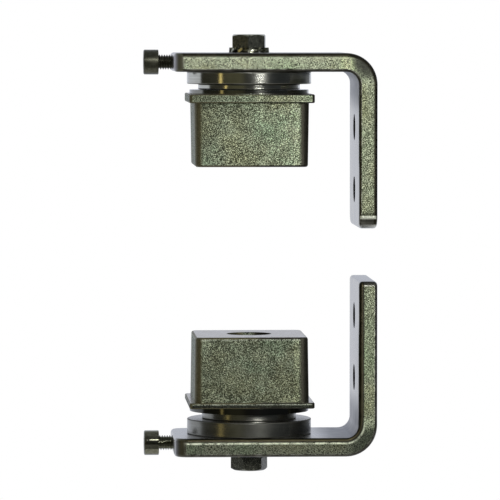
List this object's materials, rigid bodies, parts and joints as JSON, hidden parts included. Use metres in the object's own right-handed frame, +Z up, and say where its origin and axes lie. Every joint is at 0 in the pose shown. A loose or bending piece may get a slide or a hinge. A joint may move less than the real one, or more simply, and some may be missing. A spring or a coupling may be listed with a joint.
{
  "type": "pair of bolt-on gate hinges",
  "caption": "Pair of adjustable gate hinges: bent flat-bar brackets bolt to a post, and square tube plugs turn on clamped pivot bolts that slide in slots under cap screws.",
  "frame": {"origin": "middle of the lower bracket's two post holes, on the face that meets the post", "axes": "+X points into the post, +Z is up along the gate's turning axis, the arms run towards -X"},
  "size_m": [0.0925, 0.05, 0.1758],
  "materials": {
    "plated_bar": "zinc plated and olive passivated, grainy",
    "plated_casting": "zinc plated and olive passivated, rough as cast",
    "turned_steel": "turned, plated and polished",
    "dark_fastener": "dark plated"
  },
  "bodies": {
    "brackets": {"upper_bracket": "plated_bar", "lower_bracket": "plated_bar"},
    "upper_pivot": {"upper_pivot_bolt": "dark_fastener", "upper_lock_washer": "dark_fastener", "upper_thrust_disc": "turned_steel", "upper_thrust_ring": "turned_steel", "upper_pivot_sleeve": "turned_steel", "upper_end_washer": "dark_fastener", "upper_lock_nut": "dark_fastener"},
    "lower_pivot": {"lower_pivot_bolt": "dark_fastener", "lower_lock_washer": "dark_fastener", "lower_thrust_disc": "turned_steel", "lower_thrust_ring": "turned_steel", "lower_pivot_sleeve": "turned_steel", "lower_end_washer": "dark_fastener", "lower_lock_nut": "dark_fastener"},
    "upper_plug": {"upper_tube_plug": "plated_casting"},
    "lower_plug": {"lower_tube_plug": "plated_casting"},
    "upper_screw": {"upper_adjusting_screw": "dark_fastener"},
    "lower_screw": {"lower_adjusting_screw": "dark_fastener"}
  },
  "joints": [
    {"name": "upper_pivot_slide", "type": "slide", "parent": "brackets", "child": "upper_pivot", "axis": [1, 0, 0], "range_m": [-0.005, 0.005]},
    {"name": "lower_pivot_slide", "type": "slide", "parent": "brackets", "child": "lower_pivot", "axis": [1, 0, 0], "range_m": [-0.005, 0.005]},
    {"name": "upper_gate_turn", "type": "hinge", "parent": "upper_pivot", "child": "upper_plug", "pos_m": [-0.05, 0, 0.0986], "axis": [0, 0, 1], "continuous": true},
    {"name": "lower_gate_turn", "type": "hinge", "parent": "lower_pivot", "child": "lower_plug", "pos_m": [-0.05, 0, -0.0208], "axis": [0, 0, 1], "continuous": true},
    {"name": "upper_screw_feed", "type": "slide", "parent": "brackets", "child": "upper_screw", "axis": [1, 0, 0], "range_m": [-0.005, 0.005]},
    {"name": "lower_screw_feed", "type": "slide", "parent": "brackets", "child": "lower_screw", "axis": [1, 0, 0], "range_m": [-0.005, 0.005]}
  ],
  "couplings": [
    {"joint": "upper_screw_feed", "follows": "upper_pivot_slide", "ratio": 1},
    {"joint": "lower_screw_feed", "follows": "lower_pivot_slide", "ratio": 1}
  ]
}
